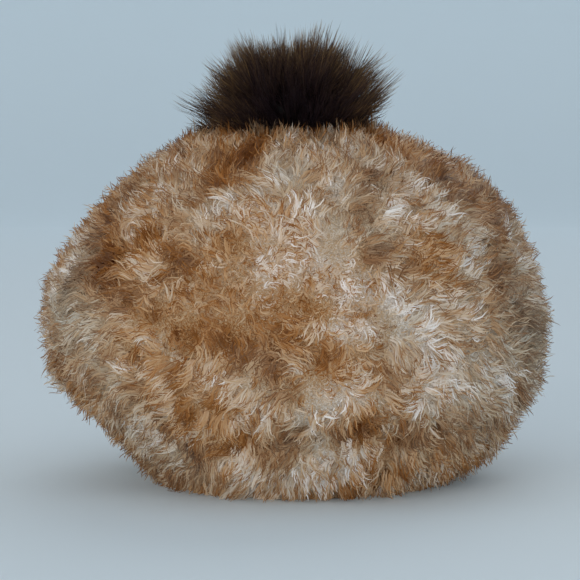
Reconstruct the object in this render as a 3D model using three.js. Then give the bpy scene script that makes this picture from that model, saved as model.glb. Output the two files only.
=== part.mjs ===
// A full, round beanie of curly lamb fur with a brown fur pompom, standing on its hem.
// Units are millimetres, +Z is up, +Y is the wearer's front and +X the wearer's right.
// Three pieces of hide are sewn together: hem band, side band and crown. Each has a leather wall and,
// outside it, the outer form of its fur. The pompom sits on the crown, tied on with wound thread.
import * as THREE from "three";

// Driving sizes
const LEATHER = 2;
const GAP = 0.3;
const HEM_SEAM = 38;
const CROWN_SEAM = 86;
const SIDES = 48;
const FUR_STEP = 11;
const LEATHER_STEP = 17;
const LEAST_STEP = 1;

// The fur's outer form: half its width at each height. Its top is dished where the pompom sits.
const FUR_OUTLINE = [
  { z: 0, radius: 87 },
  { z: 10, radius: 102 },
  { z: 24, radius: 120 },
  { z: 36, radius: 132 },
  { z: 52, radius: 143 },
  { z: 66, radius: 150 },
  { z: 80, radius: 154.5 },
  { z: 94, radius: 155.5 },
  { z: 110, radius: 153 },
  { z: 130, radius: 146 },
  { z: 150, radius: 136 },
  { z: 166, radius: 125 },
  { z: 180, radius: 112 },
  { z: 191, radius: 99 },
  { z: 200, radius: 84 },
  { z: 207, radius: 70 },
  { z: 210, radius: 54 },
  { z: 208, radius: 38 },
  { z: 205, radius: 22 },
  { z: 205, radius: 0 },
];

// The leather's inner face, round the hollow for the head.
const HOLLOW_OUTLINE = [
  { z: 0, radius: 79 },
  { z: 10, radius: 83 },
  { z: 24, radius: 92 },
  { z: 36, radius: 102 },
  { z: 52, radius: 114 },
  { z: 66, radius: 123 },
  { z: 80, radius: 128 },
  { z: 94, radius: 129 },
  { z: 110, radius: 126 },
  { z: 130, radius: 119 },
  { z: 150, radius: 107 },
  { z: 166, radius: 92 },
  { z: 178, radius: 73 },
  { z: 185, radius: 50 },
  { z: 187.5, radius: 25 },
  { z: 187.5, radius: 0 },
];

// How much longer than wide the hat is at each height.
const LENGTHS = [
  { z: 0, ratio: 1.26 },
  { z: 10, ratio: 1.19 },
  { z: 24, ratio: 1.13 },
  { z: 52, ratio: 1.08 },
  { z: 80, ratio: 1.05 },
  { z: 212, ratio: 1.05 },
];

// How far the fur's outer form leans to the wearer's right at each height.
const LEANS = [
  { z: 0, lean: 2 },
  { z: 20, lean: 8 },
  { z: 36, lean: 7 },
  { z: 52, lean: 4 },
  { z: 74, lean: 0 },
  { z: 124, lean: -1 },
  { z: 142, lean: 1 },
  { z: 162, lean: 5 },
  { z: 184, lean: 6 },
  { z: 212, lean: 2 },
];

// Grooves where a seam pulls the fur in, all round the hat.
const SEAM_GROOVES = [
  { z: HEM_SEAM, depth: 5, reach: 9 },
  { z: CROWN_SEAM, depth: 3, reach: 10 },
];

// Swells (+) and dents (-) of the fur. An azimuth is seen from above: 0 is +X, 90 is the front.
const SWELLS = [
  // The fold that climbs from the crown's seam at the back up the left side
  { azimuth: 254, z: 100, height: -3, reach: 18 },
  { azimuth: 232, z: 113, height: -4, reach: 18 },
  { azimuth: 216, z: 132, height: -5, reach: 18 },
  { azimuth: 204, z: 155, height: -5, reach: 18 },
  { azimuth: 200, z: 178, height: -5, reach: 18 },
  // The full parts of the crown beside that fold
  { azimuth: 238, z: 160, height: 4, reach: 34 },
  { azimuth: 290, z: 150, height: 3, reach: 40 },
  // Where the crown dips between its lobes at the top
  { azimuth: 240, z: 200, height: -6, reach: 16 },
  { azimuth: 300, z: 202, height: -5, reach: 16 },
  { azimuth: 340, z: 186, height: -4, reach: 18 },
  { azimuth: 60, z: 196, height: -5, reach: 18 },
  { azimuth: 128, z: 194, height: -5, reach: 18 },
  // The right side, the front and the full underside
  { azimuth: 334, z: 126, height: -4, reach: 22 },
  { azimuth: 20, z: 150, height: 3, reach: 34 },
  { azimuth: 96, z: 146, height: 4, reach: 40 },
  { azimuth: 150, z: 128, height: -4, reach: 24 },
  { azimuth: 196, z: 60, height: 3, reach: 26 },
  { azimuth: 286, z: 62, height: 4, reach: 30 },
  { azimuth: 70, z: 64, height: 3, reach: 30 },
  // The left side draws in above the hem
  { azimuth: 176, z: 20, height: -6, reach: 15 },
  { azimuth: 193, z: 20, height: -7, reach: 15 },
  { azimuth: 210, z: 20, height: -6, reach: 15 },
];

// Leans, grooves and swells fade out towards the axis within this radius, under the pompom.
const FADE_RADIUS = 50;

// Pompom: a ball of longer fur, flattened where it sits on the crown.
const POMPOM_OUTLINE = [
  { z: 0, radius: 20 },
  { z: 5, radius: 36 },
  { z: 14, radius: 50 },
  { z: 25, radius: 57 },
  { z: 36, radius: 56 },
  { z: 47, radius: 50 },
  { z: 56, radius: 41 },
  { z: 62.5, radius: 28 },
  { z: 65.5, radius: 14 },
  { z: 66, radius: 0 },
];
const POMPOM_SIDES = 32;
const POMPOM_STEP = 9;
const TIE_RADIUS = 4;
const TIE_IN_POMPOM = 14;
const TIE_SIDES = 16;

// The value of a table's column at a height, along straight lines between its rows.
function column(table, name, z) {
  const next = Math.max(1, table.findIndex((row) => row.z >= z));
  const [below, above] = [table[next - 1], table[next]];
  const share = THREE.MathUtils.clamp((z - below.z) / (above.z - below.z), 0, 1);
  return THREE.MathUtils.lerp(below[name], above[name], share);
}

// A smooth profile through an outline's rows, as points (radius, height) about one step apart.
function profileOf(outline, step) {
  const curve = new THREE.SplineCurve(outline.map((row) => new THREE.Vector2(row.radius, row.z)));
  const profile = curve.getSpacedPoints(Math.round(curve.getLength() / step));
  profile.at(-1).x = 0;
  return profile;
}

// The same profile moved outwards by a distance. Its last point stays on the axis.
function movedOut(profile, distance) {
  const last = profile.length - 1;
  return profile.map((point, i) => {
    if (i === last) return new THREE.Vector2(0, point.y + distance);
    const along = profile[i + 1].clone().sub(profile[Math.max(i - 1, 0)]).normalize();
    return new THREE.Vector2(point.x + along.y * distance, point.y - along.x * distance);
  });
}

// The point of a rising profile at a height.
function pointAt(profile, z) {
  const next = Math.max(1, profile.findIndex((point) => point.y >= z));
  const [below, above] = [profile[next - 1], profile[next]];
  return below.clone().lerp(above, (z - below.y) / (above.y - below.y)).setY(z);
}

// The stretch of a rising profile from one height to another, or to its top on the axis.
function stretch(profile, low, high = Infinity) {
  const between = profile.filter((point) => point.y > low + LEAST_STEP && point.y < high - LEAST_STEP);
  const ends = high === Infinity ? [] : [pointAt(profile, high)];
  return [pointAt(profile, low), ...between, ...ends];
}

// How far the fur's outer form is moved out or in at a point of it.
function swellAt(angle, radius, z) {
  let total = column(LEANS, "lean", z) * Math.cos(angle);
  for (const groove of SEAM_GROOVES) {
    total -= groove.depth * Math.exp(-(((z - groove.z) / groove.reach) ** 2));
  }
  for (const bump of SWELLS) {
    const turn = angle - THREE.MathUtils.degToRad(bump.azimuth);
    const across = 2 * radius * Math.sin(turn / 2);
    const away = Math.hypot(across, z - bump.z) / bump.reach;
    total += bump.height * Math.exp(-(away ** 2));
  }
  return total * Math.min(1, radius / FADE_RADIUS);
}

// A closed profile turned round the axis and pressed to the hat's plan. The profile's first points,
// as many as outer says, lie on the fur's outer form and follow its swells too.
function turned(profile, outer = 0) {
  const geometry = new THREE.LatheGeometry(profile, SIDES);
  geometry.rotateX(Math.PI / 2);
  const places = geometry.getAttribute("position");
  for (let i = 0; i < places.count; i += 1) {
    const z = places.getZ(i);
    const angle = Math.atan2(places.getY(i), places.getX(i));
    let radius = Math.hypot(places.getX(i), places.getY(i));
    const row = i % profile.length;
    if (row < outer || (outer > 0 && row === profile.length - 1)) radius += swellAt(angle, radius, z);
    const length = column(LENGTHS, "ratio", z);
    places.setXYZ(i, radius * Math.cos(angle), radius * length * Math.sin(angle), z);
  }
  return geometry;
}

const furProfile = profileOf(FUR_OUTLINE, FUR_STEP);
const hollowProfile = profileOf(HOLLOW_OUTLINE, LEATHER_STEP);
const leatherProfile = movedOut(hollowProfile, LEATHER);
const rootProfile = movedOut(hollowProfile, LEATHER + GAP);

// A band between two heights goes up its outside and down its inside.
function leatherBand(low, high) {
  const outside = stretch(leatherProfile, low, high);
  const inside = stretch(hollowProfile, low, high).reverse();
  return turned([...outside, ...inside, outside[0]]);
}

function furBand(low, high) {
  const outside = stretch(furProfile, low, high);
  const inside = stretch(rootProfile, low, high).reverse();
  return turned([...outside, ...inside, outside[0]], outside.length);
}

// The crown's leather is a dome that closes at the axis, on both of its faces.
function leatherDome(low) {
  const outside = stretch(leatherProfile, low);
  const inside = stretch(hollowProfile, low);
  return turned([...inside.reverse(), ...outside]);
}

// The crown's fur leaves a hole on the axis for the pompom's tie.
function furDome(low) {
  const hole = TIE_RADIUS + GAP;
  const outside = stretch(furProfile, low).slice(0, -1);
  const inside = stretch(rootProfile, low).slice(0, -1).reverse();
  const rim = [new THREE.Vector2(hole, furProfile.at(-1).y), new THREE.Vector2(hole, rootProfile.at(-1).y)];
  return turned([...outside, ...rim, ...inside, outside[0]], outside.length);
}

// The pompom closes on itself round the recess for its tie.
function pompomBall() {
  const hole = TIE_RADIUS + GAP;
  const depth = TIE_IN_POMPOM + GAP;
  const recess = [new THREE.Vector2(0, depth), new THREE.Vector2(hole, depth), new THREE.Vector2(hole, 0)];
  return new THREE.LatheGeometry([...recess, ...profileOf(POMPOM_OUTLINE, POMPOM_STEP)], POMPOM_SIDES);
}

const leather = new THREE.MeshStandardMaterial({ color: 0xc8ad8b, roughness: 0.9 });
const lambFur = new THREE.MeshStandardMaterial({ color: 0xb9956f, roughness: 0.85 });
const brownFur = new THREE.MeshStandardMaterial({ color: 0x2d1e19, roughness: 0.8 });
const thread = new THREE.MeshStandardMaterial({ color: 0x4a3527, roughness: 0.9 });

const hat = new THREE.Group();

function add(name, geometry, material) {
  const mesh = new THREE.Mesh(geometry, material);
  mesh.name = name;
  hat.add(mesh);
  return mesh;
}

// Hem band: the hat stands on the flat ring of its fur, and its leather ends just above that.
add("hem_band_leather", leatherBand(GAP, HEM_SEAM - GAP / 2), leather);
add("hem_band_fur", furBand(0, HEM_SEAM - GAP / 2), lambFur);

// Side band: the full underside of the hat.
add("side_band_leather", leatherBand(HEM_SEAM + GAP / 2, CROWN_SEAM - GAP / 2), leather);
add("side_band_fur", furBand(HEM_SEAM + GAP / 2, CROWN_SEAM - GAP / 2), lambFur);

// Crown
add("crown_leather", leatherDome(CROWN_SEAM + GAP / 2), leather);
add("crown_fur", furDome(CROWN_SEAM + GAP / 2), lambFur);

// Pompom, seated on the crown's fur
const pompom = add("pompom", pompomBall(), brownFur);
pompom.rotation.x = Math.PI / 2;
pompom.position.z = furProfile.at(-1).y + GAP;

// Its tie of wound thread runs from the crown's leather into the pompom.
const tieFoot = leatherProfile.at(-1).y + GAP;
const tieLength = pompom.position.z + TIE_IN_POMPOM - tieFoot;
const tie = add("pompom_tie", new THREE.CylinderGeometry(TIE_RADIUS, TIE_RADIUS, tieLength, TIE_SIDES), thread);
tie.rotation.x = Math.PI / 2;
tie.position.z = tieFoot + tieLength / 2;

// The origin is on the surface that the hat stands on, under the middle of its box.
const middle = new THREE.Box3().setFromObject(hat).getCenter(new THREE.Vector3());
hat.position.set(-middle.x, -middle.y, 0);

export default hat;
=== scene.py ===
from math import atan2, cos, exp, hypot, pi, radians, sin, tau

import bmesh
import bpy
import numpy as np
from mathutils import Matrix, Vector
from mathutils.bvhtree import BVHTree


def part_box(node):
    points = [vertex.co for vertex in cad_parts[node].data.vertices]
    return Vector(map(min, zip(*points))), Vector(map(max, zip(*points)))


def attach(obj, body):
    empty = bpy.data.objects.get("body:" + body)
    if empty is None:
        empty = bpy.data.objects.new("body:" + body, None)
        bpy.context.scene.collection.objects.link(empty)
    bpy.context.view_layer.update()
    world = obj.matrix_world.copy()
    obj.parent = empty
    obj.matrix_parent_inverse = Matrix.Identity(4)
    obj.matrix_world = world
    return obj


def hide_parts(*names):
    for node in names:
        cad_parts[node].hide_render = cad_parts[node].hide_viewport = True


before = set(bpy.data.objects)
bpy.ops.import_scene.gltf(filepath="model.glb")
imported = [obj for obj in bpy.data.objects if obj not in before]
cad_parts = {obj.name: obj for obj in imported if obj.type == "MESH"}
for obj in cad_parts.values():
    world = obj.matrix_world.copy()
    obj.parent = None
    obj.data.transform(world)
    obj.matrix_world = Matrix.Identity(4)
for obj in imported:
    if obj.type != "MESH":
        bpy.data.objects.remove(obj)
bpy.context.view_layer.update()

# Camera: level with the hat's lower half and a little above it, straight behind it, as in the photo.
# The view's width is what the photo spans across the hat.
VIEW_WIDTH = 0.3584
VIEW_DISTANCE = 1.8
VIEW_TILT = radians(4.3)
VIEW_MIDDLE = Vector((-0.0026, 0, 0.1152))
SENSOR = 36

camera = bpy.data.objects.new("camera", bpy.data.cameras.new("camera"))
camera.data.sensor_width = SENSOR
camera.data.lens = SENSOR * VIEW_DISTANCE / VIEW_WIDTH
camera.location = VIEW_MIDDLE + VIEW_DISTANCE * Vector((0, -cos(VIEW_TILT), sin(VIEW_TILT)))
camera.rotation_euler = (pi / 2 - VIEW_TILT, 0, 0)
bpy.context.collection.objects.link(camera)
bpy.context.scene.camera = camera
bpy.context.scene.view_settings.view_transform = "Standard"


# Light: one large soft window from the upper left behind the camera, a weak fill from the right, a
# weak soft light on the hat's far side, and an even pale sky over everything.
def soft_light(name, place, size, power, colour):
    """An area light that looks at the middle of the hat."""
    light = bpy.data.lights.new(name, "AREA")
    light.size = size
    light.energy = power
    light.color = colour
    lamp = bpy.data.objects.new(name, light)
    lamp.location = place
    lamp.visible_camera = False
    lamp.rotation_euler = (VIEW_MIDDLE - Vector(place)).to_track_quat("-Z", "Y").to_euler()
    bpy.context.collection.objects.link(lamp)


soft_light("window", place=(-1.0, -3.8, 0.54), size=3.24, power=95.5, colour=(1.0, 0.985, 0.96))
soft_light("fill", place=(2.9, -2.7, 0.54), size=2.9, power=9.7, colour=(0.95, 0.97, 1.0))
front = bpy.data.objects.new("front", bpy.data.lights.new("front", "SUN"))
front.data.energy = 0.55
front.data.angle = radians(50)
front.rotation_euler = (radians(-62), 0, radians(-14))
bpy.context.collection.objects.link(front)

sky = bpy.data.worlds.new("sky")
sky.use_nodes = True
sky.node_tree.nodes["Background"].inputs["Color"].default_value = (0.92, 0.96, 1.0, 1)
sky.node_tree.nodes["Background"].inputs["Strength"].default_value = 0.46
bpy.context.scene.world = sky

# Floor: a plain pale disc, and a wall that sweeps up from it all round, so that every view ends on it.
# The windows are outside the wall, which lets their light in.
FLOOR_RADIUS = 2.9
SWEEP_RADIUS = 0.5
SWEEP_STEPS = 16
WALL_TOP = 1.6
RING_STEPS = 96
FLOOR_COLOUR = (0.74, 0.84, 0.90)


def ring(name, outline):
    """The outline, which is radius and height from the middle outwards, turned all the way round."""
    bm = bmesh.new()
    verts = [bm.verts.new((radius, 0, height)) for radius, height in outline]
    edges = [bm.edges.new(pair) for pair in zip(verts, verts[1:])]
    around = {"cent": (0, 0, 0), "axis": (0, 0, 1), "angle": tau, "steps": RING_STEPS}
    bmesh.ops.spin(bm, geom=verts + edges, use_merge=True, **around)
    bmesh.ops.remove_doubles(bm, verts=bm.verts, dist=1e-6)
    bmesh.ops.recalc_face_normals(bm, faces=bm.faces)
    if min(bm.faces, key=lambda face: face.calc_center_median().z).normal.z < 0:
        bmesh.ops.reverse_faces(bm, faces=bm.faces)
    for face in bm.faces:
        face.smooth = True
    mesh = bpy.data.meshes.new(name)
    bm.to_mesh(mesh)
    bm.free()
    made = bpy.data.objects.new(name, mesh)
    bpy.context.collection.objects.link(made)
    return made


def plain_material(name, colour, roughness):
    material = bpy.data.materials.new(name)
    material.use_nodes = True
    shader = material.node_tree.nodes["Principled BSDF"]
    shader.inputs["Base Color"].default_value = (*colour, 1)
    shader.inputs["Roughness"].default_value = roughness
    return material


pale = plain_material("pale_floor", FLOOR_COLOUR, roughness=0.9)
floor = ring("floor", [(0, 0), (FLOOR_RADIUS, 0)])
climbs = [step / SWEEP_STEPS * pi / 2 for step in range(SWEEP_STEPS + 1)]
sweep = [(FLOOR_RADIUS + SWEEP_RADIUS * sin(t), SWEEP_RADIUS * (1 - cos(t))) for t in climbs]
wall = ring("wall", [*sweep, (FLOOR_RADIUS + SWEEP_RADIUS, WALL_TOP)])
wall.visible_shadow = False
floor.data.materials.append(pale)
wall.data.materials.append(pale)


# Hide: hem band, side band and crown are three pieces of sheepskin, cut and sewn wool side out. This
# is their bare leather, which shows inside the hat. Each is its frame solid with the facets smoothed.
def piece_from(bm, name, *materials):
    """A finished mesh as a piece of the hat."""
    mesh = bpy.data.meshes.new(name)
    bm.to_mesh(mesh)
    bm.free()
    mesh.polygons.foreach_set("use_smooth", [True] * len(mesh.polygons))
    for material in materials:
        mesh.materials.append(material)
    piece = bpy.data.objects.new(name, mesh)
    bpy.context.collection.objects.link(piece)
    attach(piece, "root")
    return piece


def solid_of(node):
    """A frame solid as one merged mesh of four-sided faces."""
    bm = bmesh.new()
    bm.from_mesh(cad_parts[node].data)
    bmesh.ops.remove_doubles(bm, verts=bm.verts, dist=1e-5)
    flat, square = radians(40), radians(60)
    bmesh.ops.join_triangles(bm, faces=bm.faces, angle_face_threshold=flat, angle_shape_threshold=square)
    return bm


class Nodes:
    """A short way to add nodes to a tree and to link them."""

    def __init__(self, tree):
        self.tree = tree

    def add(self, kind, inputs=(), **settings):
        node = self.tree.nodes.new(kind)
        for name, value in settings.items():
            setattr(node, name, value)
        for name, value in dict(inputs).items():
            if isinstance(value, bpy.types.NodeSocket):
                self.tree.links.new(value, node.inputs[name])
            else:
                node.inputs[name].default_value = value
        return node

    def ramp(self, factor, stops):
        """A colour ramp through (position, colour) stops."""
        node = self.add("ShaderNodeValToRGB", {"Fac": factor})
        marks = node.color_ramp.elements
        while len(marks) < len(stops):
            marks.new(1)
        for mark, (position, colour) in zip(marks, stops):
            mark.position = position
            mark.color = (*colour, 1)
        return node.outputs["Color"]

    def math(self, operation, a, b):
        return self.add("ShaderNodeMath", {0: a, 1: b}, operation=operation).outputs[0]

    def between(self, value, low, high, to_low, to_high):
        """A value's range low to high, taken to another range."""
        ends = {"Value": value, "From Min": low, "From Max": high, "To Min": to_low, "To Max": to_high}
        return self.add("ShaderNodeMapRange", ends).outputs["Result"]

    def mix(self, factor, a, b, blend="MIX"):
        node = self.add("ShaderNodeMix", data_type="RGBA", blend_type=blend)
        for socket, value in ((node.inputs[0], factor), (node.inputs[6], a), (node.inputs[7], b)):
            if isinstance(value, bpy.types.NodeSocket):
                self.tree.links.new(value, socket)
            else:
                socket.default_value = value if isinstance(value, float) else (*value, 1)
        return node.outputs[2]


def suede():
    """Matt hide: a soft mottled colour and a fine nap."""
    material = bpy.data.materials.new("suede")
    material.use_nodes = True
    n = Nodes(material.node_tree)
    shader = material.node_tree.nodes["Principled BSDF"]
    place = n.add("ShaderNodeTexCoord").outputs["Object"]
    mottle = n.add("ShaderNodeTexNoise", {"Vector": place, "Scale": 38.0, "Detail": 4.0}).outputs["Fac"]
    colour = n.ramp(mottle, [(0.3, (0.46, 0.31, 0.19)), (0.7, (0.63, 0.46, 0.31))])
    nap = n.add("ShaderNodeTexNoise", {"Vector": place, "Scale": 900.0, "Detail": 3.0}).outputs["Fac"]
    bump = n.add("ShaderNodeBump", {"Height": nap, "Strength": 0.35, "Distance": 0.0008})
    material.node_tree.links.new(colour, shader.inputs["Base Color"])
    material.node_tree.links.new(bump.outputs["Normal"], shader.inputs["Normal"])
    shader.inputs["Roughness"].default_value = 0.92
    shader.inputs["Sheen Weight"].default_value = 0.3
    return material


hide = suede()
for band in ("hem_band", "side_band", "crown"):
    skin = piece_from(solid_of(f"{band}_leather"), f"{band}_hide", hide)
    rounding = skin.modifiers.new("rounding", "SUBSURF")
    rounding.levels = rounding.render_levels = 1
    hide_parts(f"{band}_leather")

# Seams: the three pieces of hide are whip stitched edge to edge on their leather side, all the way
# round, with waxed thread. Each stitch is a short loop over the seam, which leans a little.
STITCH_PITCH = 0.0052
STITCH_REACH = 0.0019
STITCH_LEAN = 0.0007
STITCH_HEIGHT = 0.35
STITCH_SPREAD = 0.6
STITCH_STEPS = 6
THREAD_RADIUS = 0.0004
THREAD_SIDES = 6
SEAM_GAP = 0.001
tie_low, tie_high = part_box("pompom_tie")
AXIS = np.array([(tie_low.x + tie_high.x) / 2, (tie_low.y + tie_high.y) / 2, 0])


def nodes_tree(*names):
    """The frame solids of these names as one tree to measure on."""
    places, faces = [], []
    for name in names:
        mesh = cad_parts[name].data
        faces += [[i + len(places) for i in face.vertices] for face in mesh.polygons]
        places += [vertex.co.copy() for vertex in mesh.vertices]
    return BVHTree.FromPolygons(places, faces)


hide_tree = nodes_tree("hem_band_leather", "side_band_leather", "crown_leather")


def waxed_thread():
    """Twisted brown thread: slanting strands with painted shade in the grooves between them, a worn colour
    and a waxy gloss.
    """
    material = bpy.data.materials.new("waxed_thread")
    material.use_nodes = True
    n = Nodes(material.node_tree)
    shader = material.node_tree.nodes["Principled BSDF"]
    place = n.add("ShaderNodeTexCoord").outputs["Object"]
    twist = {"Vector": place, "Scale": 520.0, "Distortion": 1.5}
    strands = n.add("ShaderNodeTexWave", twist, bands_direction="DIAGONAL").outputs["Fac"]
    wear = n.add("ShaderNodeTexNoise", {"Vector": place, "Scale": 260.0, "Detail": 3.0}).outputs["Fac"]
    colour = n.ramp(wear, [(0.3, (0.085, 0.048, 0.030)), (0.7, (0.19, 0.115, 0.07))])
    # The grooves between the strands are darkened: painted shade.
    shade = n.between(strands, 0.0, 1.0, 0.55, 1.0)
    groove_shade = n.add("ShaderNodeCombineColor", {"Red": shade, "Green": shade, "Blue": shade}).outputs[0]
    bump = n.add("ShaderNodeBump", {"Height": strands, "Strength": 0.6, "Distance": 0.0002})
    material.node_tree.links.new(n.mix(1.0, colour, groove_shade, "MULTIPLY"), shader.inputs["Base Color"])
    material.node_tree.links.new(n.between(wear, 0.3, 0.7, 0.42, 0.6), shader.inputs["Roughness"])
    material.node_tree.links.new(bump.outputs["Normal"], shader.inputs["Normal"])
    return material


thread = waxed_thread()


def one_stitch():
    """A low arch of thread along X, whose ends go into the hide."""
    bm = bmesh.new()
    bmesh.ops.create_circle(bm, cap_ends=True, segments=THREAD_SIDES, radius=THREAD_RADIUS)
    bmesh.ops.translate(bm, verts=bm.verts, vec=(STITCH_REACH, 0, 0))
    loop = bm.verts[:] + bm.edges[:] + bm.faces[:]
    bmesh.ops.spin(bm, geom=loop, cent=(0, 0, 0), axis=(0, -1, 0), angle=pi, steps=STITCH_STEPS)
    bmesh.ops.scale(bm, verts=bm.verts, vec=(1, 1, STITCH_HEIGHT))
    bmesh.ops.recalc_face_normals(bm, faces=bm.faces)
    mesh = bpy.data.meshes.new("one_stitch")
    bm.to_mesh(mesh)
    bm.free()
    return mesh


def seam_stitches(height, stitch):
    """The stitch repeated round the hide's inner face at this height."""
    bm = bmesh.new()

    def inner_face(turn, z):
        outward = Vector((cos(turn), sin(turn), 0))
        return hide_tree.ray_cast(Vector(AXIS) + Vector((0, 0, z)), outward)[0]

    girth = tau * (inner_face(0, height + SEAM_GAP) - Vector(AXIS)).xy.length
    count = round(girth / STITCH_PITCH)
    for i in range(count):
        turn = i / count * tau
        lean = STITCH_LEAN / girth * tau
        low = inner_face(turn - lean, height - STITCH_SPREAD * STITCH_REACH)
        high = inner_face(turn + lean, height + STITCH_SPREAD * STITCH_REACH)
        along = (high - low).normalized()
        inward = Vector((-cos(turn), -sin(turn), 0))
        inward = (inward - inward.dot(along) * along).normalized()
        old = len(bm.verts)
        bm.from_mesh(stitch)
        bm.verts.ensure_lookup_table()
        place = Matrix((along, inward.cross(along), inward)).transposed().to_4x4()
        place.translation = (low + high) / 2
        bmesh.ops.transform(bm, matrix=place, verts=bm.verts[old:])
    return bm


stitch = one_stitch()
for name, band in (("hem_seam", "side_band"), ("crown_seam", "crown")):
    seam_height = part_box(f"{band}_leather")[0].z
    stitches = piece_from(seam_stitches(seam_height, stitch), f"{name}_stitches", thread)
    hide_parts(f"{band}_leather")

# Under-wool: the dense lower part of the fleece, which closes every gap between the locks. It grows on
# the same three pieces of hide. Each is its frame solid made a little thinner, with soft lumps.
UNDERWOOL_BELOW = 0.0028  # how far inside the frame solid the surface is
UNDERWOOL_LEAST = 0.4  # but never less than this share of the depth
HEM_THINNING = 0.5  # how much thinner it is at the very hem
UNDERWOOL_LAP = 0.002  # how far a band goes up under the next piece
UPPER_EDGE = 0.0005
HEM_LIP = 0.004
TUFT_SPACING = 0.0115
TUFT_BULGE = 0.0027
UNDERWOOL_LUMP = 0.0004
LUMP_SIZE = 0.009
LUMPY_DEPTH = 0.008  # lumps show only where the fleece is this deep
BULGE_REACH = 0.45


def ripple(places, size, seed):
    """A smooth random number at each place, about 0 on average and 1 in spread. It changes over size."""
    draw = np.random.default_rng(seed)
    waves = 16
    ways = draw.normal(size=(waves, 3))
    ways *= tau / size * draw.uniform(0.6, 1.3, (waves, 1)) / np.linalg.norm(ways, axis=1, keepdims=True)
    return np.sin(places @ ways.T + draw.uniform(0, tau, waves)).sum(1) / np.sqrt(waves / 2)


def above_hide(places):
    """How far each place is from the hide."""
    return np.array([hide_tree.find_nearest(Vector(place))[3] for place in places])


# The fur's form is measured along rays from a point inside the hat.
HEART = AXIS + (0, 0, 0.09)
RAY_LENGTH = 0.5
HEM_LEVEL = 0.002
HIGHEST_RISE = radians(89)
SECOND_RAY = 0.005
FORM_TURNS = 180
FORM_RISES = 72


def blurred(values, width, wraps):
    """Values smoothed along their first axis, over about width steps."""
    reach = int(3 * width)
    weights = np.exp(-0.5 * (np.arange(-reach, reach + 1) / width) ** 2)
    padded = np.concatenate(
        [values[-reach:], values, values[:reach]]
        if wraps
        else [np.repeat(values[:1], reach, 0), values, np.repeat(values[-1:], reach, 0)]
    )
    total = sum(w * padded[i : i + len(values)] for i, w in enumerate(weights))
    return total / weights.sum()


def fur_form():
    """The fur's outer form as a grid of places: a ring for each rise from the hem to the top."""
    tree = nodes_tree("hem_band_fur", "side_band_fur", "crown_fur")
    heart = Vector(HEART)

    def distance(outward, rise):
        way = outward * cos(rise) + Vector((0, 0, sin(rise)))
        hit = tree.ray_cast(heart + way * RAY_LENGTH, -way)[0]
        return (hit - heart).dot(way) if hit else 0

    grid = np.zeros((FORM_RISES, FORM_TURNS, 3))
    for j in range(FORM_TURNS):
        turn = j / FORM_TURNS * tau
        outward = Vector((cos(turn), sin(turn), 0))
        outside = Vector(AXIS) + outward * RAY_LENGTH + Vector((0, 0, HEM_LEVEL))
        edge = tree.ray_cast(outside, -outward)[0]
        lowest = atan2(edge.z - heart.z, hypot(edge.x - heart.x, edge.y - heart.y))
        for i in range(FORM_RISES):
            rise = lowest + (HIGHEST_RISE - lowest) * i / (FORM_RISES - 1)
            # The second ray finds the fur where the first one goes through the gap between two pieces.
            far = max(distance(outward, rise), distance(outward, rise + SECOND_RAY))
            grid[i, j] = heart + far * (outward * cos(rise) + Vector((0, 0, sin(rise))))
    grid = blurred(grid, width=1.2, wraps=False)
    return blurred(grid.transpose(1, 0, 2), width=2.0, wraps=True).transpose(1, 0, 2)


def unit(vectors):
    return vectors / np.maximum(np.linalg.norm(vectors, axis=-1, keepdims=True), 1e-12)


def dot(a, b):
    return (a * b).sum(-1, keepdims=True)


form = fur_form()
form_up = np.gradient(form, axis=0)
form_round = (np.roll(form, -1, 1) - np.roll(form, 1, 1)) / 2
form_out = unit(np.cross(form_round, form_up))


def on_form(grid, rise, turn):
    """A grid's values between its points. rise and turn count its rows and columns."""
    i = np.clip(rise.astype(int), 0, FORM_RISES - 2)
    j = turn.astype(int) % FORM_TURNS
    a = (rise - i)[:, None]
    b = (turn - np.floor(turn))[:, None]
    k = (j + 1) % FORM_TURNS
    lower = grid[i, j] * (1 - b) + grid[i, k] * b
    upper = grid[i + 1, j] * (1 - b) + grid[i + 1, k] * b
    return lower * (1 - a) + upper * a


def scatter(spacing, draw):
    """Evenly spread places on the form, in rows, as (rise, turn) with a random shift."""
    steps = np.linalg.norm(np.diff(form, axis=0), axis=2).mean(1)
    height = np.concatenate([[0], np.cumsum(steps)])
    girth = np.linalg.norm(form - np.roll(form, 1, 1), axis=2).sum(1)
    rises, turns = [], []
    for level in np.arange(spacing / 2, height[-1], spacing):
        count = int(np.interp(level, height, girth) / spacing)
        if count < 3:
            continue
        level = level + draw.uniform(-0.5, 0.5, count) * spacing
        rises.append(np.interp(level, height, np.arange(FORM_RISES)))
        turns.append((np.arange(count) + draw.uniform(-0.5, 0.5, count)) / count * FORM_TURNS % FORM_TURNS)
    return np.concatenate(rises), np.concatenate(turns)


def nearest(places, centres):
    """The number of the centre nearest to each place, and how far away it is."""
    own = np.empty(len(places), int)
    away = np.empty(len(places))
    for i in range(0, len(places), 1000):
        far = np.linalg.norm(places[i : i + 1000, None] - centres, axis=2)
        own[i : i + 1000] = far.argmin(1)
        away[i : i + 1000] = far.min(1)
    return own, away


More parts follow.
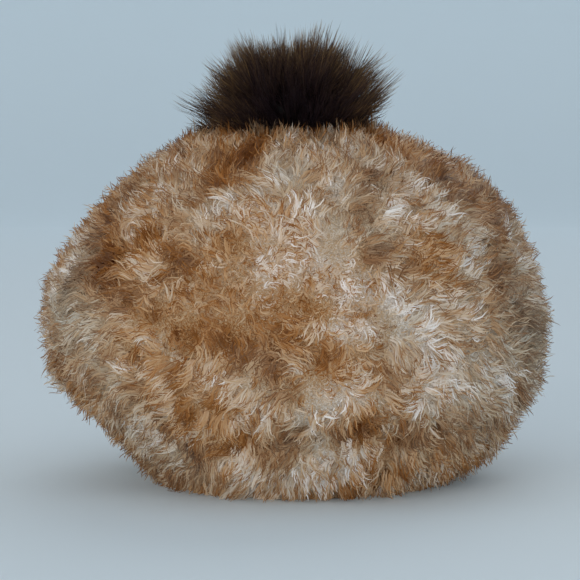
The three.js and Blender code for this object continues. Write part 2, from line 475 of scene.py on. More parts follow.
# Tufts: neighbouring locks lean, hook, rise and take colour alike, each tuft in its own way.
tuft_draw = np.random.default_rng(5)
tufts = on_form(form, *scatter(TUFT_SPACING, tuft_draw))
TUFT_COMB = np.stack([ripple(tufts, 0.06, 31 + axis) for axis in range(3)], 1) * 0.2
TUFT_COMB += tuft_draw.normal(0, 0.26, TUFT_COMB.shape)
TUFT_SIDE = tuft_draw.choice([-1, 1], len(tufts))
TUFT_HOOK = tuft_draw.uniform(0.8, 3.2, len(tufts))
TUFT_TINT = tuft_draw.normal(0, 0.085, len(tufts))
TUFT_RISE = tuft_draw.normal(0, 0.0011, len(tufts))
TUFT_PHASE = 2.0 * ripple(tufts, 0.04, 37) + tuft_draw.normal(0, 0.5, len(tufts))
TUFT_LIFT = tuft_draw.normal(0, 0.12, len(tufts))


def underwool(node):
    """The frame solid of this fur, moved in towards the hide, with a lump at each tuft."""
    bm = solid_of(node)
    bmesh.ops.subdivide_edges(bm, edges=bm.edges, cuts=2, use_grid_fill=True)
    places = np.array([vertex.co for vertex in bm.verts])
    depth = above_hide(places)
    for vertex, deep in zip(bm.verts, depth):
        skin_place = hide_tree.find_nearest(vertex.co)[0]
        share = max(UNDERWOOL_LEAST, 1 - UNDERWOOL_BELOW / max(deep, 0.001))
        vertex.co = skin_place.lerp(vertex.co, share * (1 - HEM_THINNING * exp(-vertex.co.z / HEM_LIP)))
    top = places[:, 2].max()
    away = nearest(places, tufts)[1]
    lumps = (BULGE_REACH - away / TUFT_SPACING) * TUFT_BULGE + ripple(places, LUMP_SIZE, 5) * UNDERWOOL_LUMP
    bm.normal_update()
    for vertex, lump, deep in zip(bm.verts, lumps, depth):
        if deep > LUMPY_DEPTH:
            vertex.co += vertex.normal * float(lump)
    # The upper edge laps over the next piece, so that no gap shows at the seam.
    for vertex, place in zip(bm.verts, places):
        if place[2] > top - UPPER_EDGE and node != "crown_fur":
            vertex.co.z = top + UNDERWOOL_LAP
    return bm


# The fleece's colours: each hair is some step between rust and white. Its root is browner and darker, which
# is painted shade deep among the locks, and its tip may be much darker than the rest of it.
FUR_TINTS = [
    (0.0, (0.135, 0.040, 0.006)),
    (0.25, (0.36, 0.145, 0.036)),
    (0.5, (0.56, 0.345, 0.178)),
    (0.75, (0.68, 0.54, 0.41)),
    (1.0, (0.90, 0.84, 0.81)),
]
ROOT_SHADE = (0.84, 0.74, 0.63)
TIP_DARKENING = 0.74
TINT_LEVELS = 24
GREY_LEVELS = 4
TIP_LEVELS = 4
HAIR_GLOSS = 0.15
HAIR_WORDS = ("tint", "grey", "tips", "reach", "side")


def hair_group(name, build):
    """A node group for hair's colour and roughness, from what each hair carries: its tint (0 dark to 1
    pale), how grey it is, how dark its tip is, how far up it a place is, and how far to its side in mm."""
    group = bpy.data.node_groups.new(name, "ShaderNodeTree")
    for word in HAIR_WORDS:
        group.interface.new_socket(word, in_out="INPUT", socket_type="NodeSocketFloat")
    group.interface.new_socket("colour", in_out="OUTPUT", socket_type="NodeSocketColor")
    group.interface.new_socket("roughness", in_out="OUTPUT", socket_type="NodeSocketFloat")
    n = Nodes(group)
    given = n.add("NodeGroupInput").outputs
    # Hairs of unlike tints get unlike streaks.
    hair = n.math("ADD", n.math("MULTIPLY", given["tint"], 31.0), n.math("MULTIPLY", given["tips"], 7.0))
    across = n.math("MULTIPLY", given["side"], 2.4)
    along = n.math("MULTIPLY", given["reach"], 2.4)
    spot = n.add("ShaderNodeCombineXYZ", {"X": across, "Y": along, "Z": hair}).outputs[0]
    streak = n.add("ShaderNodeTexNoise", {"Vector": spot, "Scale": 1.0, "Detail": 2.0}).outputs[0]
    roughness = n.between(streak, 0.3, 0.7, 0.45, 0.65)
    n.add("NodeGroupOutput", {"colour": build(n, given, streak), "roughness": roughness})
    return group


def fleece_colour(n, given, streak):
    """A hair of the fleece: its own tint, a root darkened by painted shade and perhaps a darker tip."""
    late = n.between(given["reach"], 0.5, 0.8, 0.0, TIP_DARKENING)
    left = n.math("SUBTRACT", 1.0, n.math("MULTIPLY", late, given["tips"]))
    tint = n.math("ADD", n.math("MULTIPLY", given["tint"], left), n.between(streak, 0.3, 0.7, -0.07, 0.07))
    body = n.ramp(tint, FUR_TINTS)
    # The root is darkened towards its base: painted shade deep in the fleece, where the hairs cast none.
    root = n.mix(1.0, body, ROOT_SHADE, "MULTIPLY")
    colour = n.mix(n.between(given["reach"], 0.3, 0.65, 0.0, 1.0), root, body)
    grey = n.add("ShaderNodeHueSaturation", {"Hue": 0.52, "Saturation": 0.6, "Value": 0.96, "Color": colour})
    return n.mix(given["grey"], colour, grey.outputs[0])


def hair_material(name, group):
    """Hair that is coloured by a hair group."""
    material = bpy.data.materials.new(name)
    material.use_nodes = True
    n = Nodes(material.node_tree)
    held = {word: n.add("ShaderNodeAttribute", attribute_name=word).outputs["Fac"] for word in HAIR_WORDS}
    tone = n.add("ShaderNodeGroup", node_tree=group)
    for word, value in held.items():
        material.node_tree.links.new(value, tone.inputs[word])
    shader = material.node_tree.nodes["Principled BSDF"]
    material.node_tree.links.new(tone.outputs["colour"], shader.inputs["Base Color"])
    material.node_tree.links.new(tone.outputs["roughness"], shader.inputs["Roughness"])
    shader.inputs["Specular IOR Level"].default_value = HAIR_GLOSS
    return material


lamb_fur = hair_material("lamb_fur", hair_group("fleece_tone", fleece_colour))

# Patches of the fleece's colour, charted: azimuth from above in degrees (270 is the back),
# height and reach in millimetres, and the tint at the middle (rust 0 to white 1).
FLEECE_TINT = 0.57
# Some of these patches are painted light. The near-white ones at azimuth 276 to 303, from 70 to 190 mm up,
# are partly pale fleece and partly painted highlight on glossy curls. The darker one at azimuth 335, 96 mm
# up, is painted shade on the side that is seen edge-on.
FLEECE_PATCHES_AND_PAINTED_LIGHT = [
    # azimuth, height, reach, tint
    (255, 121, 31, 0.53),
    (257, 94, 22, 0.48),
    (219, 76, 19, 0.60),
    (232, 93, 9, 0.44),
    (233, 77, 11, 0.50),
    (326, 180, 21, 0.40),
    (335, 96, 21, 0.42),
    (250, 176, 11, 0.86),
    (225, 172, 14, 0.70),
    (231, 140, 8, 0.60),
    (267, 187, 10, 0.80),
    (262, 204, 9, 0.74),
    (284, 182, 10, 0.90),
    (297, 173, 7, 0.94),
    (307, 189, 9, 0.86),
    (310, 168, 11, 0.86),
    (276, 144, 11, 0.94),
    (264, 138, 7, 0.86),
    (269, 152, 11, 0.70),
    (282, 127, 15, 0.76),
    (290, 126, 8, 0.98),
    (298, 106, 15, 0.98),
    (279, 104, 8, 0.96),
    (284, 104, 6, 0.88),
    (293, 95, 11, 0.82),
    (303, 71, 14, 0.94),
    (310, 87, 14, 0.80),
    (327, 77, 7, 0.84),
    (297, 58, 14, 0.80),
    (279, 58, 11, 0.88),
    (262, 53, 8, 0.92),
    (256, 44, 6, 0.86),
    (280, 27, 15, 0.96),
    (269, 13, 12, 0.86),
    (253, 23, 7, 0.76),
    (229, 36, 11, 0.86),
    (237, 28, 7, 0.80),
    (214, 103, 12, 0.70),
    (221, 91, 10, 0.70),
    (254, 77, 12, 0.68),
    (310, 113, 9, 0.68),
    (317, 63, 9, 0.74),
    (261, 72, 9, 0.66),
    (273, 62, 9, 0.76),
    (189, 134, 9, 0.56),
    (235, 16, 6, 0.66),
    (199, 183, 11, 0.26),
    (197, 167, 10, 0.12),
    (205, 154, 11, 0.04),
    (217, 140, 12, 0.02),
    (224, 128, 10, 0.12),
    (231, 118, 9, 0.20),
    (238, 112, 8, 0.26),
    (246, 198, 12, 0.06),
    (243, 186, 9, 0.18),
    (249, 205, 9, 0.10),
    (230, 159, 7, 0.24),
    (243, 143, 9, 0.22),
    (255, 155, 8, 0.36),
    (263, 111, 6, 0.36),
    (247, 99, 9, 0.26),
    (256, 97, 9, 0.22),
    (262, 96, 7, 0.24),
    (267, 94, 7, 0.26),
    (258, 86, 6, 0.26),
    (266, 82, 8, 0.14),
    (271, 96, 6, 0.34),
    (275, 113, 6, 0.36),
    (276, 88, 9, 0.34),
    (269, 67, 7, 0.36),
    (253, 61, 7, 0.32),
    (246, 52, 7, 0.28),
    (237, 42, 7, 0.30),
    (233, 64, 8, 0.32),
    (218, 50, 8, 0.34),
    (242, 27, 9, 0.18),
    (259, 36, 6, 0.24),
    (268, 36, 9, 0.16),
    (264, 26, 6, 0.28),
    (285, 45, 11, 0.10),
    (280, 43, 7, 0.24),
    (295, 39, 10, 0.26),
    (305, 38, 9, 0.26),
    (315, 42, 7, 0.30),
    (288, 171, 9, 0.30),
    (288, 146, 7, 0.18),
    (295, 138, 5, 0.28),
    (302, 155, 5, 0.40),
    (329, 200, 7, 0.30),
    (324, 187, 11, 0.20),
    (332, 173, 11, 0.22),
    (333, 155, 9, 0.34),
    (325, 130, 9, 0.14),
    (291, 121, 6, 1.00),
    (279, 20, 8, 0.84),
    (221, 38, 7, 0.82),
    (278, 154, 9, 0.62),
    (330, 144, 6, 0.50),
    (237, 203, 7, 0.34),
    (305, 145, 10, 0.58),
]

# Where the fleece turns grey: the same columns, from warm 0 to grey 1.
# The two greyest rows, at azimuth 208 and 336, dull and darken the sides seen edge-on: painted shade.
FLEECE_GREYS_AND_SIDE_SHADE = [
    (208, 110, 30, 0.9),
    (226, 35, 28, 0.6),
    (336, 95, 40, 0.9),
    (318, 60, 32, 0.6),
    (318, 165, 24, 0.6),
    (290, 185, 22, 0.55),
    (268, 192, 16, 0.7),
    (296, 105, 24, 0.45),
    (272, 30, 26, 0.5),
    (248, 178, 12, 0.4),
    (235, 178, 14, 0.4),
    (252, 110, 30, 0.0),
    (218, 140, 18, 0.0),
    (246, 195, 14, 0.0),
]

# Where the fleece lies lower than elsewhere: the same columns, with the change of height in metres.
FLEECE_DIPS = [(186, 48, 40, -0.004)]

# How strongly a patch covers what is under it, how wide it is for its reach, and how sharp its edge is.
PATCH_SHARE = 0.95
PATCH_REACH = 1.15
PATCH_EDGE = 2.5


def charted(places, plain, rows):
    """A value over the fleece: the plain one, with charted patches over it."""
    for azimuth, height, reach, middle in rows:
        turn = np.arctan2(places[:, 1], places[:, 0]) - radians(azimuth)
        across = 2 * np.hypot(places[:, 0], places[:, 1]) * np.sin(turn / 2)
        away = np.hypot(across, places[:, 2] - height / 1000) * 1000 / reach
        share = PATCH_SHARE * np.exp(-((away / PATCH_REACH) ** PATCH_EDGE))
        plain = plain * (1 - share) + middle * share
    return plain


def fleece_tint(places):
    """The charted tint, over soft mottling in two sizes."""
    mottling = 0.1 * ripple(places, 0.055, 21) + 0.06 * ripple(places, 0.02, 22)
    return charted(places, FLEECE_TINT + mottling, FLEECE_PATCHES_AND_PAINTED_LIGHT)


def fleece_grey(places):
    return charted(places, 0.15 + 0.15 * ripple(places, 0.06, 23), FLEECE_GREYS_AND_SIDE_SHADE)


def leveled(values, levels):
    """Values from 0 to 1, each moved to the nearest of a few levels."""
    return np.clip(np.round(values * (levels - 1)), 0, levels - 1) / (levels - 1)


def write_attributes(mesh, columns):
    """Stores one number for each vertex under each name."""
    for name, values in columns.items():
        mesh.attributes.new(name, "FLOAT", "POINT").data.foreach_set("value", np.asarray(values, np.float32))


def wool_material():
    """The under-wool: the fleece's colours over fine crimped relief."""
    material = lamb_fur.copy()
    material.name = "underwool"
    n = Nodes(material.node_tree)
    place = n.add("ShaderNodeTexCoord").outputs["Object"]
    crimp = n.add("ShaderNodeTexNoise", {"Vector": place, "Scale": 330.0, "Detail": 4.0, "Distortion": 4.0})
    own_tint = material.node_tree.nodes["Attribute"].outputs["Fac"]
    tint = n.math("ADD", own_tint, n.between(crimp.outputs[0], 0.35, 0.65, -0.26, 0.14))
    tone = next(node for node in material.node_tree.nodes if node.type == "GROUP")
    bump = n.add("ShaderNodeBump", {"Height": crimp.outputs[0], "Strength": 1.0, "Distance": 0.0014})
    material.node_tree.links.new(tint, tone.inputs["tint"])
    shader = material.node_tree.nodes["Principled BSDF"]
    material.node_tree.links.new(bump.outputs["Normal"], shader.inputs["Normal"])
    return material


wool_look = wool_material()
for band in ("hem_band", "side_band", "crown"):
    wool = piece_from(underwool(f"{band}_fur"), f"{band}_underwool", wool_look)
    places = np.array([vertex.co for vertex in wool.data.vertices])
    none = np.zeros(len(places))
    tone = {"tint": fleece_tint(places) + 0.03, "grey": fleece_grey(places)}
    write_attributes(wool.data, tone | {"tips": none, "reach": none + 0.5, "side": none})
    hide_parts(f"{band}_fur")

# Locks: the curly outer fleece. It grows in locks a few millimetres wide. They stand out from the hide
# and lean forwards, and their tips wave or hook round. Finer guard hairs with dark tips lie over them,
# and short hairs stand up between them. Each hair is a narrow ribbon that ends in a point.
LOCK_SPACING = 0.0041
LOCK_WIDTH = 0.0040
ROOT_DEPTH = 0.0085  # how far below the fleece's form a lock's root is
TIP_HEIGHT = 0.0013  # how far above it the tip ends
LONGEST_HAIR = 0.027
POMPOM_CLEARING = 0.03
FRINGE_HEIGHT = 0.002
GROWTH_STEPS = 24
REACHES = np.linspace(0, 1, GROWTH_STEPS + 1)[:, None, None]
COMB = (0, 1, -0.28)
SEEN_REACH = 0.75  # where along a hair the colour chart is read
LOW_FUR = 0.022  # below this height the fur is combed down
RUFF_RADIUS = 0.045
RUFF_WIDTH = 0.016
RUFF_BASE = 0.17
RUFF_RISE = 0.008
ROOT_COVER = 0.001
SHALLOWEST_ROOT = 0.004
LOCK_SPREAD = 0.16  # how unlike its tuft a lock is combed
DOMING = 0.9  # how strongly a tuft is shaded as one round lump
DARK_TIPPED = 0.26  # the share of locks with dark tips
ODDLY_CURLED = 0.12  # the share of locks that curl the other way
GATHER = 0.22  # how far tips move to the middle of their tuft
NARROWING = 0.75  # how much narrower a lock is at its tip
WAVES = 1.25  # the number of waves along a hair
BENT_BY = 0.6  # the part of its length in which a hair bends over
FLOOR_CLEARANCE = 0.0006
HEM_SEAM_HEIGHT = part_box("side_band_fur")[0].z
CROWN_SEAM_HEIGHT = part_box("crown_fur")[0].z
HALF_IN_MM = 500  # half of a width in metres, in millimetres

# A lock is one of three kinds, in these shares: a hair's tints and tips have one value for each kind. Its
# stray is how far each hair of a lock turns out of line, and upright and loose are how far it stands off.
# points and taper say where its rows are and how wide. soft is how much it is shaded as the fleece is.
LOCK_KINDS = (0.48, 0.27, 0.25)
WOOL_HAIR = {
    "stray": (1, 0, 0, 0),
    "upright": 0,
    "width": 0.001,
    "points": (0.3, 0.55, 0.74, 0.89, 1),
    "taper": (1, 1, 0.85, 0.45, 0),
    "soft": 3.0,
    "loose": 0,
    "tints": (0, 0, 0),
    "tips": (0, 0, 0),
}
GUARD_HAIR = {
    "stray": (1, 0, 0),
    "upright": 0,
    "width": 0.0005,
    "points": (0.4, 0.6, 0.78, 0.9, 1),
    "taper": (1, 1, 1, 0.8, 0),
    "soft": 2.0,
    "loose": 0.006,
    "tints": (-0.1, -0.06, 0.02),
    "tips": (1.15, 0.5, -0.3),
}
SHORT_HAIR = {
    "stray": (4, 4),
    "upright": 0.7,
    "width": 0.0009,
    "points": (0.45, 0.8, 1),
    "taper": (1, 0.8, 0),
    "soft": 3.0,
    "loose": 0,
    "tints": (0.02, 0, 0.05),
    "tips": (0, 0.1, 0),
}


def lock_plan():
    """Each lock's own values: where it grows, how it leans, bends and waves, and its colour."""
    draw = np.random.default_rng(7)
    rise, turn = scatter(LOCK_SPACING, draw)
    top = on_form(form, rise, turn)
    middle = np.hypot(*(top - AXIS)[:, :2].T)
    keep = (middle > POMPOM_CLEARING) & (top[:, 2] > FRINGE_HEIGHT)
    rise, turn, top, middle = rise[keep], turn[keep], top[keep], middle[keep]
    out = unit(on_form(form_out, rise, turn))
    locks = len(top)
    tuft, away = nearest(top, tufts)
    low = np.exp(-((top[:, 2] / LOW_FUR) ** 2))
    comb = np.array(COMB) + TUFT_COMB[tuft] + draw.normal(0, LOCK_SPREAD, (locks, 3))
    comb[:, 2] -= low
    comb -= dot(comb, out) * out
    combed = np.minimum(np.linalg.norm(comb, axis=1), 1)
    # Locks curl most where they are combed least.
    curl = np.clip(1.05 - combed + 0.25 * ripple(top, 0.06, 35) - low, 0.05, 1)
    depth = np.clip(above_hide(top) - ROOT_COVER, SHALLOWEST_ROOT, ROOT_DEPTH)
    # The ruff is the ring of fleece that stands up round the pompom.
    ruff = np.exp(-(((middle - RUFF_RADIUS) / RUFF_WIDTH) ** 2)) * (top[:, 2] > RUFF_BASE)
    high = TIP_HEIGHT + TUFT_RISE[tuft] + draw.normal(0, 0.001, locks) + RUFF_RISE * ruff
    high += (BULGE_REACH - away / TUFT_SPACING) * TUFT_BULGE + 0.0015 * low + charted(top, 0, FLEECE_DIPS)
    swirl = TUFT_SIDE[tuft] * (0.1 + 2.2 * curl**1.5) * draw.uniform(0.5, 1.2, locks)
    tips = 0.05 + 0.75 * (draw.random(locks) < DARK_TIPPED + 0.14 * ripple(top, 0.03, 24))
    lie = radians(77) - 0.5 * curl + TUFT_LIFT[tuft]
    return {
        "top": top,
        "out": out,
        "dome": unit(out + DOMING * (top - tufts[tuft]) / TUFT_SPACING),
        "gather": tufts[tuft] - top,
        "lean": unit(comb),
        "depth": depth,
        "reach": depth + high,
        "start": radians(14) + draw.normal(0, 0.07, locks),
        "end": lie + draw.normal(0, 0.1, locks) - 0.6 * ruff - 0.3 * low,
        "longest": LONGEST_HAIR * (1 - 0.35 * curl),
        "hook": radians(26) * curl,
        "swing": (0.7 - 0.3 * curl) * draw.uniform(0.6, 1.2, locks),
        "phase": TUFT_PHASE[tuft] + draw.normal(0, 0.3, locks),
        "swirl": swirl * np.where(draw.random(locks) < ODDLY_CURLED, -1, 1),
        "tip_curl": curl * (TUFT_SIDE[tuft] * TUFT_HOOK[tuft] + draw.normal(0, 0.4, locks)),
        "stray": 0.15 + 0.6 * curl,
        "fade": draw.uniform(0.6, 1.4, locks),
        "tint": TUFT_TINT[tuft] + 0.07 * ripple(top, 0.009, 36) + draw.normal(0, 0.03, locks),
        "grey": draw.normal(0, 0.1, locks),
        "tips": tips,
        "kind": draw.choice(3, locks, p=LOCK_KINDS),
    }


def grown(plan, style, draw):
    """The hairs of one style that grow in the planned locks: their courses and what they carry."""
    each = len(style["stray"])
    hair = {name: np.repeat(values, each, 0) for name, values in plan.items()}
    count = len(hair["top"])
    stray = np.tile(style["stray"], count // each) * hair["stray"] * draw.normal(0, 1, count)

    def varied(name, spread):
        return hair[name] + draw.normal(0, spread, count)

    out, lean = hair["out"], hair["lean"]
    side = np.cross(out, lean)
    start, hook, swing = varied("start", 0.06), varied("hook", 0.08), varied("swing", 0.07)
    loose = draw.random(count) ** 2
    end = varied("end", 0.07) - 0.5 * loose * (style["loose"] > 0) - style["upright"]
    tip_reach = hair["reach"] + style["loose"] * loose
    phase, swirl, tip_curl = varied("phase", 0.16), varied("swirl", 0.1), varied("tip_curl", 0.2)
    # Each hair stands up at its root, bends over, waves from side to side and hooks at its tip.
    s = (np.arange(GROWTH_STEPS)[:, None] + 0.5) / GROWTH_STEPS
    early = np.minimum(s / BENT_BY, 1)
    bend = start + (end - start) * early**2 * (3 - 2 * early) + hook * s**3
    climb = np.cumsum(np.cos(bend), 0).max(0) / GROWTH_STEPS
    length = np.minimum(tip_reach / climb, hair["longest"]) * draw.uniform(0.82, 1.06, count)
    turn = swing * np.sin(s * WAVES * tau + phase) + swirl * s**2
    turn += tip_curl * np.clip((s - 0.5) / 0.5, 0, 1)
    turn += stray
    step = np.cos(bend)[..., None] * out + np.sin(bend)[..., None] * (
        np.cos(turn)[..., None] * lean + np.sin(turn)[..., None] * side
    )
    course = np.concatenate([np.zeros((1, count, 3)), np.cumsum(step * length[:, None] / GROWTH_STEPS, 0)])
    course += hair["top"] - hair["depth"][:, None] * out
    # The hairs of a lock draw together towards its tip, and the locks of a tuft do too.
    across = draw.uniform(-1, 1, count) * LOCK_WIDTH / 2
    binormal = unit(np.cross(out, np.gradient(course, axis=0)))
    narrowing = 1 - NARROWING * REACHES**1.4
    course += across[:, None] * narrowing * binormal + draw.normal(0, 0.0003, (count, 3))
    course += REACHES**1.5 * hair["gather"] * GATHER
    course[..., 2] = np.maximum(course[..., 2], FLOOR_CLEARANCE + 0.0008 * draw.random(count))
    # The chart is read where most of the hair is seen, which is beside the place that it grows from.
    seen = course[round(SEEN_REACH * GROWTH_STEPS)]
    tint = FLEECE_TINT + (fleece_tint(seen) - FLEECE_TINT) * hair["fade"]
    tint += varied("tint", 0.015) + np.array(style["tints"])[hair["kind"]]
    tips = varied("tips", 0.15) + 0.4 * (0.6 - tint) + np.array(style["tips"])[hair["kind"]]
    carried = {
        "tint": leveled(tint, TINT_LEVELS),
        "grey": leveled(fleece_grey(seen) + varied("grey", 0.06), GREY_LEVELS),
        "tips": leveled(tips, TIP_LEVELS),
    }
    return course, out, hair["dome"], carried


def strips(name, style, material, course, facing, shading, carried):
    """Narrow strips along the courses, each ending in a point, joined in one mesh. facing is the way
    that each one's flat side looks. shading is the slope that it shows, as part of the fleece under it."""
    points, taper, width = style["points"], np.array(style["taper"]), style["width"]
    rows, count = len(points), len(facing)
    each = 2 * rows - 1
    sides = np.array([-1, 1])
    picks = np.array([course[round(p * (len(course) - 1))] for p in points])
    along = unit(np.gradient(picks, axis=0))
    flat = unit(facing - dot(facing, along) * along)
    across = np.cross(flat, along)
    half = taper[:, None, None, None] * sides[:, None, None] * width / 2
    places = (picks[:, None] + half * across[:, None]).reshape(-1, count, 3)[:each].transpose(1, 0, 2)
    quads = [(2 * i, 2 * i + 2, 2 * i + 3, 2 * i + 1) for i in range(rows - 2)]
    corners = np.array([corner for quad in quads for corner in quad] + [each - 3, each - 1, each - 2])
    firsts = np.arange(rows - 1) * 4
    starts = np.arange(count)[:, None]
    loops = (corners + starts * each).ravel()
    mesh = bpy.data.meshes.new(name)
    mesh.vertices.add(count * each)
    mesh.vertices.foreach_set("co", places.astype(np.float32).ravel())
    mesh.loops.add(len(loops))
    mesh.loops.foreach_set("vertex_index", loops.astype(np.int32))
    mesh.polygons.add(count * len(firsts))
    mesh.polygons.foreach_set("loop_start", (firsts + starts * len(corners)).ravel().astype(np.int32))
    mesh.polygons.foreach_set("use_smooth", np.ones(count * len(firsts), bool))
    mesh.update(calc_edges=True)
    reach = np.tile(np.repeat(points, 2)[:each], count)
    side = np.tile((taper[:, None] * sides).ravel()[:each], count)
    held = {word: np.repeat(values, each) for word, values in carried.items()}
    write_attributes(mesh, held | {"reach": reach, "side": side * width * HALF_IN_MM})
    # Hairs that carry the same values share one narrow row of the map.
    alike = np.unique(np.stack(list(carried.values()), 1), axis=0, return_inverse=True)[1].ravel()
    row = (np.repeat(alike, each) + 0.5 + 0.4 * side) / (alike.max() + 1)
    layer = mesh.uv_layers.new(name="OFBake")
    layer.data.foreach_set("uv", np.stack([reach, row], 1)[loops].astype(np.float32).ravel())
    if style["soft"]:
        soft = np.repeat(unit(flat + style["soft"] * shading), 2, 0)[:each].transpose(1, 0, 2)
        mesh.normals_split_custom_set_from_vertices(soft.reshape(-1, 3))
    mesh.materials.append(material)
    piece = bpy.data.objects.new(name, mesh)
    bpy.context.collection.objects.link(piece)
    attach(piece, "root")
    return piece


CROWN_PARTS = {"right": (-45, 45), "front": (45, 135), "left": (135, 225), "back": (225, 315)}


def part_of(places, part):
    """Which places are on this piece of hide, or on this quarter of the crown."""
    height = places[:, 2]
    turn = (np.degrees(np.arctan2(places[:, 1], places[:, 0])) + 45) % 360 - 45
    if part == "hem_band":
        return height < HEM_SEAM_HEIGHT
    if part == "side_band":
        return (height >= HEM_SEAM_HEIGHT) & (height < CROWN_SEAM_HEIGHT)
    low, high = CROWN_PARTS[part.removeprefix("crown_")]
    return (height >= CROWN_SEAM_HEIGHT) & (turn >= low) & (turn < high)


plan = lock_plan()
draw = np.random.default_rng(3)
for part in ("hem_band", "side_band", *(f"crown_{quarter}" for quarter in CROWN_PARTS)):
    chosen = part_of(plan["top"], part)
    node = "crown_fur" if part.startswith("crown") else f"{part}_fur"
    here = {name: values[chosen] for name, values in plan.items()}
    for growth, style in (("locks", WOOL_HAIR), ("guard_hair", GUARD_HAIR), ("short_hair", SHORT_HAIR)):
        hairs = strips(f"{part}_{growth}", style, lamb_fur, *grown(here, style, draw))
        hairs.visible_shadow = False
        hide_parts(node)

# Pompom: a puff of long straight dark brown fur, gathered round a small stuffed core and sewn on. Its
# hair fans out from low down, in tufts that end in brown tips.
POMPOM_HAIRS = 20000
POMPOM_TUFTS = 520
POMPOM_HAIR = {
    "width": 0.00042,
    "points": (0.15, 0.5, 0.73, 0.9, 1),
    "taper": (1, 1, 0.8, 0.5, 0),
    "soft": 0,
}
POMPOM_TINTS = [
    (0.0, (0.005, 0.0034, 0.004)),
    (0.2, (0.021, 0.0115, 0.0145)),
    (0.5, (0.066, 0.036, 0.024)),
    (1.0, (0.38, 0.225, 0.085)),
]
POMPOM_HEART_HEIGHT = 0.011
POMPOM_CORE_SHARE = 0.6
POMPOM_RAY = 0.3
POMPOM_CROWN = -0.04  # its top is a little flatter than the solid
POMPOM_SHOULDER = 0.05  # and its shoulder a little fuller
LOWEST_WAY = -0.16  # how far below level the hair still points
TUFT_SHARE = 0.36  # how far a hair's tip is drawn to its tuft
TUFT_UNEVENNESS = 0.045
SHORTENING = 0.32
TUFT_BOW = 0.0038
HAIR_BOW = 0.0024
# The side of the pompom that is made near black as painted shade: its way, its width and how much of the
# tint it takes away.
SHADE_WAY = (0, -1, 0)
SHADE_WIDTH = 0.8
SHADE_SHARE = 0.85
POMPOM_DRIFT = 0.001
POMPOM_ROOT_DISC = 0.016
POMPOM_ARCH = -0.0085  # how much the lower hair sags on its way out
LOW_TUFT_WAY = (-1, -0.2, 0.18)
LOW_TUFT_WIDTH = 0.26
LOW_TUFT_LENGTH = 0.3
LOW_TUFT_DROOP = 0.007
pompom_low, pompom_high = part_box("pompom")
POMPOM_HEART = np.array([*AXIS[:2], pompom_low.z + POMPOM_HEART_HEIGHT])


def pompom_colour(n, given, streak):
    """Near black for most of the hair's length, and brown towards its tip."""
    late = n.math("POWER", given["reach"], 2.1)
    tint = n.math("ADD", given["tint"], n.between(streak, 0.25, 0.75, -0.1, 0.1))
    return n.ramp(n.math("MULTIPLY", late, tint), POMPOM_TINTS)


pompom_fur = hair_material("pompom_fur", hair_group("pompom_tone", pompom_colour))


def pompom_core():
    """The frame solid of the pompom, made smaller round its heart."""
    bm = solid_of("pompom")
    bmesh.ops.subdivide_edges(bm, edges=bm.edges, cuts=1, use_grid_fill=True)
    for vertex in bm.verts:
        vertex.co = Vector(POMPOM_HEART).lerp(vertex.co, POMPOM_CORE_SHARE)
    return bm


core = piece_from(pompom_core(), "pompom_core", pompom_fur)
none = np.zeros(len(core.data.vertices))
write_attributes(core.data, {word: none for word in HAIR_WORDS})
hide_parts("pompom")


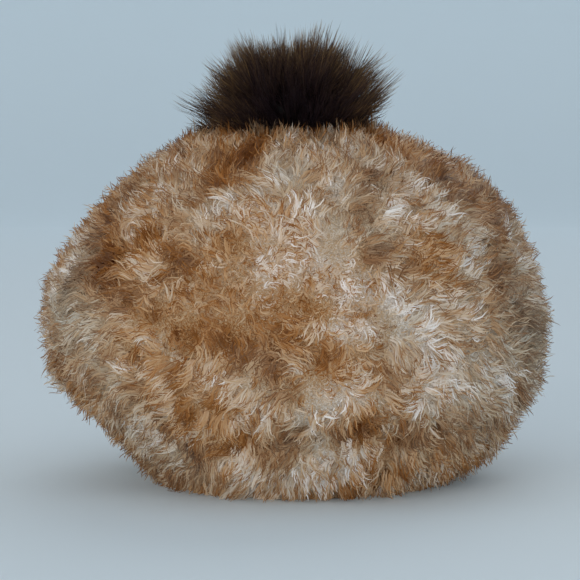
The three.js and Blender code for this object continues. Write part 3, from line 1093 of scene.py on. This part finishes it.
def pompom_hair():
    """Each hair's course and what it carries."""
    draw = np.random.default_rng(17)
    tree = nodes_tree("pompom")

    def ways(count):
        up = draw.uniform(LOWEST_WAY, 1, count)
        turn = draw.uniform(0, tau, count)
        flat = np.sqrt(1 - up**2)
        return np.stack([flat * np.cos(turn), flat * np.sin(turn), up], 1)

    tufts = ways(POMPOM_TUFTS)
    hair = ways(POMPOM_HAIRS)
    own = (hair @ tufts.T).argmax(1)
    tip_way = unit(hair * (1 - TUFT_SHARE) + tufts[own] * TUFT_SHARE)
    heart = Vector(POMPOM_HEART)
    hits = (tree.ray_cast(heart + Vector(way) * POMPOM_RAY, -Vector(way))[0] for way in tip_way)
    far = np.array([(hit - heart).length for hit in hits])
    tuft_reach = draw.normal(1.0, TUFT_UNEVENNESS, POMPOM_TUFTS)
    far = far * tuft_reach[own] * (1.01 - SHORTENING * draw.random(POMPOM_HAIRS) ** 1.3)
    far *= 1 + POMPOM_SHOULDER * np.exp(-(((tip_way[:, 2] - 0.6) / 0.24) ** 2))
    far *= 1 + POMPOM_CROWN * np.exp(-(((tip_way[:, 2] - 1) / 0.2) ** 2))
    off_low_tuft = np.linalg.norm(tip_way - unit(np.array(LOW_TUFT_WAY)), axis=1)
    low_tuft = np.exp(-((off_low_tuft / LOW_TUFT_WIDTH) ** 2))
    far *= 1 + LOW_TUFT_LENGTH * low_tuft
    # Hair that points to the back is made near black: painted shade. Elsewhere the tips stay brown.
    painted_shade_side = np.exp(-((np.linalg.norm(tip_way - SHADE_WAY, axis=1) / SHADE_WIDTH) ** 2))
    bow = draw.normal(0, TUFT_BOW, (POMPOM_TUFTS, 3))[own] + draw.normal(0, HAIR_BOW, (POMPOM_HAIRS, 3))
    drift = np.stack([ripple(tip_way, 0.6, 61 + axis) for axis in range(3)], 1) * POMPOM_DRIFT
    s = REACHES
    # The hair is rooted on a small disc, rises from it and then spreads.
    root = POMPOM_HEART + POMPOM_ROOT_DISC * hair * (1, 1, 0.3)
    tip = POMPOM_HEART + tip_way * far[:, None]
    course = root + (tip - root) * s + bow * np.sin(s * pi * 1.5)
    course += s**2 * drift
    arch = POMPOM_ARCH * (1 - tip_way[:, 2:]) + draw.normal(0, 0.0025, (POMPOM_TUFTS, 1))[own]
    course[..., 2:] += np.sin(s * pi) * arch
    # The hair low on one side droops in one long tuft.
    course[..., 2:] -= LOW_TUFT_DROOP * s * low_tuft[:, None]
    facing = unit(draw.normal(size=hair.shape))
    tint = draw.normal(0.8, 0.22, POMPOM_HAIRS) * (1 - SHADE_SHARE * painted_shade_side)
    carried = {
        "tint": leveled(np.clip(tint, 0.05, 1), TINT_LEVELS),
        "grey": np.zeros(POMPOM_HAIRS),
        "tips": leveled(draw.random(POMPOM_HAIRS), TIP_LEVELS),
    }
    return course, facing, facing, carried


puff = strips("pompom_hair", POMPOM_HAIR, pompom_fur, *pompom_hair())
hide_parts("pompom")

# Pompom tie: thread wound round and round the stalk between crown and pompom, and sewn through both.
# The fur hides it. It is a core with one thread coiled up it.
WINDING_STEP = 0.0009
WINDING_STEPS = 20
CORE_SIDES = 24
CORE_BEVEL = 0.0008


def wound_tie():
    """A core with rounded ends, and the thread's section turned up round it."""
    radius = (tie_high.x - tie_low.x) / 2
    length = tie_high.z - tie_low.z
    foot = Vector((*AXIS[:2], tie_low.z))
    bm = bmesh.new()
    bmesh.ops.create_cone(
        bm,
        cap_ends=True,
        segments=CORE_SIDES,
        radius1=radius - THREAD_RADIUS,
        radius2=radius - THREAD_RADIUS,
        depth=length - THREAD_RADIUS,
        matrix=Matrix.Translation(foot + Vector((0, 0, length / 2))),
    )
    ends = {edge for face in bm.faces if len(face.verts) > 4 for edge in face.edges}
    rounded = {"offset": CORE_BEVEL, "segments": 2, "profile": 0.5, "affect": "EDGES", "material": -1}
    bmesh.ops.bevel(bm, geom=list(ends), **rounded)
    upright = Matrix.Rotation(pi / 2, 4, "X")
    start = Matrix.Translation(foot + Vector((radius - THREAD_RADIUS, 0, THREAD_RADIUS))) @ upright
    section = {"segments": THREAD_SIDES, "radius": THREAD_RADIUS, "matrix": start}
    circle = bmesh.ops.create_circle(bm, cap_ends=True, **section)["verts"]
    edges = {edge for vertex in circle for edge in vertex.link_edges}
    faces = {face for vertex in circle for face in vertex.link_faces}
    turns = (length - 2 * THREAD_RADIUS) / WINDING_STEP
    steps = round(turns * WINDING_STEPS)
    bmesh.ops.spin(
        bm,
        geom=[*circle, *edges, *faces],
        cent=foot,
        axis=(0, 0, 1),
        dvec=(0, 0, WINDING_STEP / WINDING_STEPS),
        angle=steps / WINDING_STEPS * tau,
        steps=steps,
    )
    bmesh.ops.recalc_face_normals(bm, faces=bm.faces)
    return bm


tie = piece_from(wound_tie(), "wound_thread", thread)
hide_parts("pompom_tie")
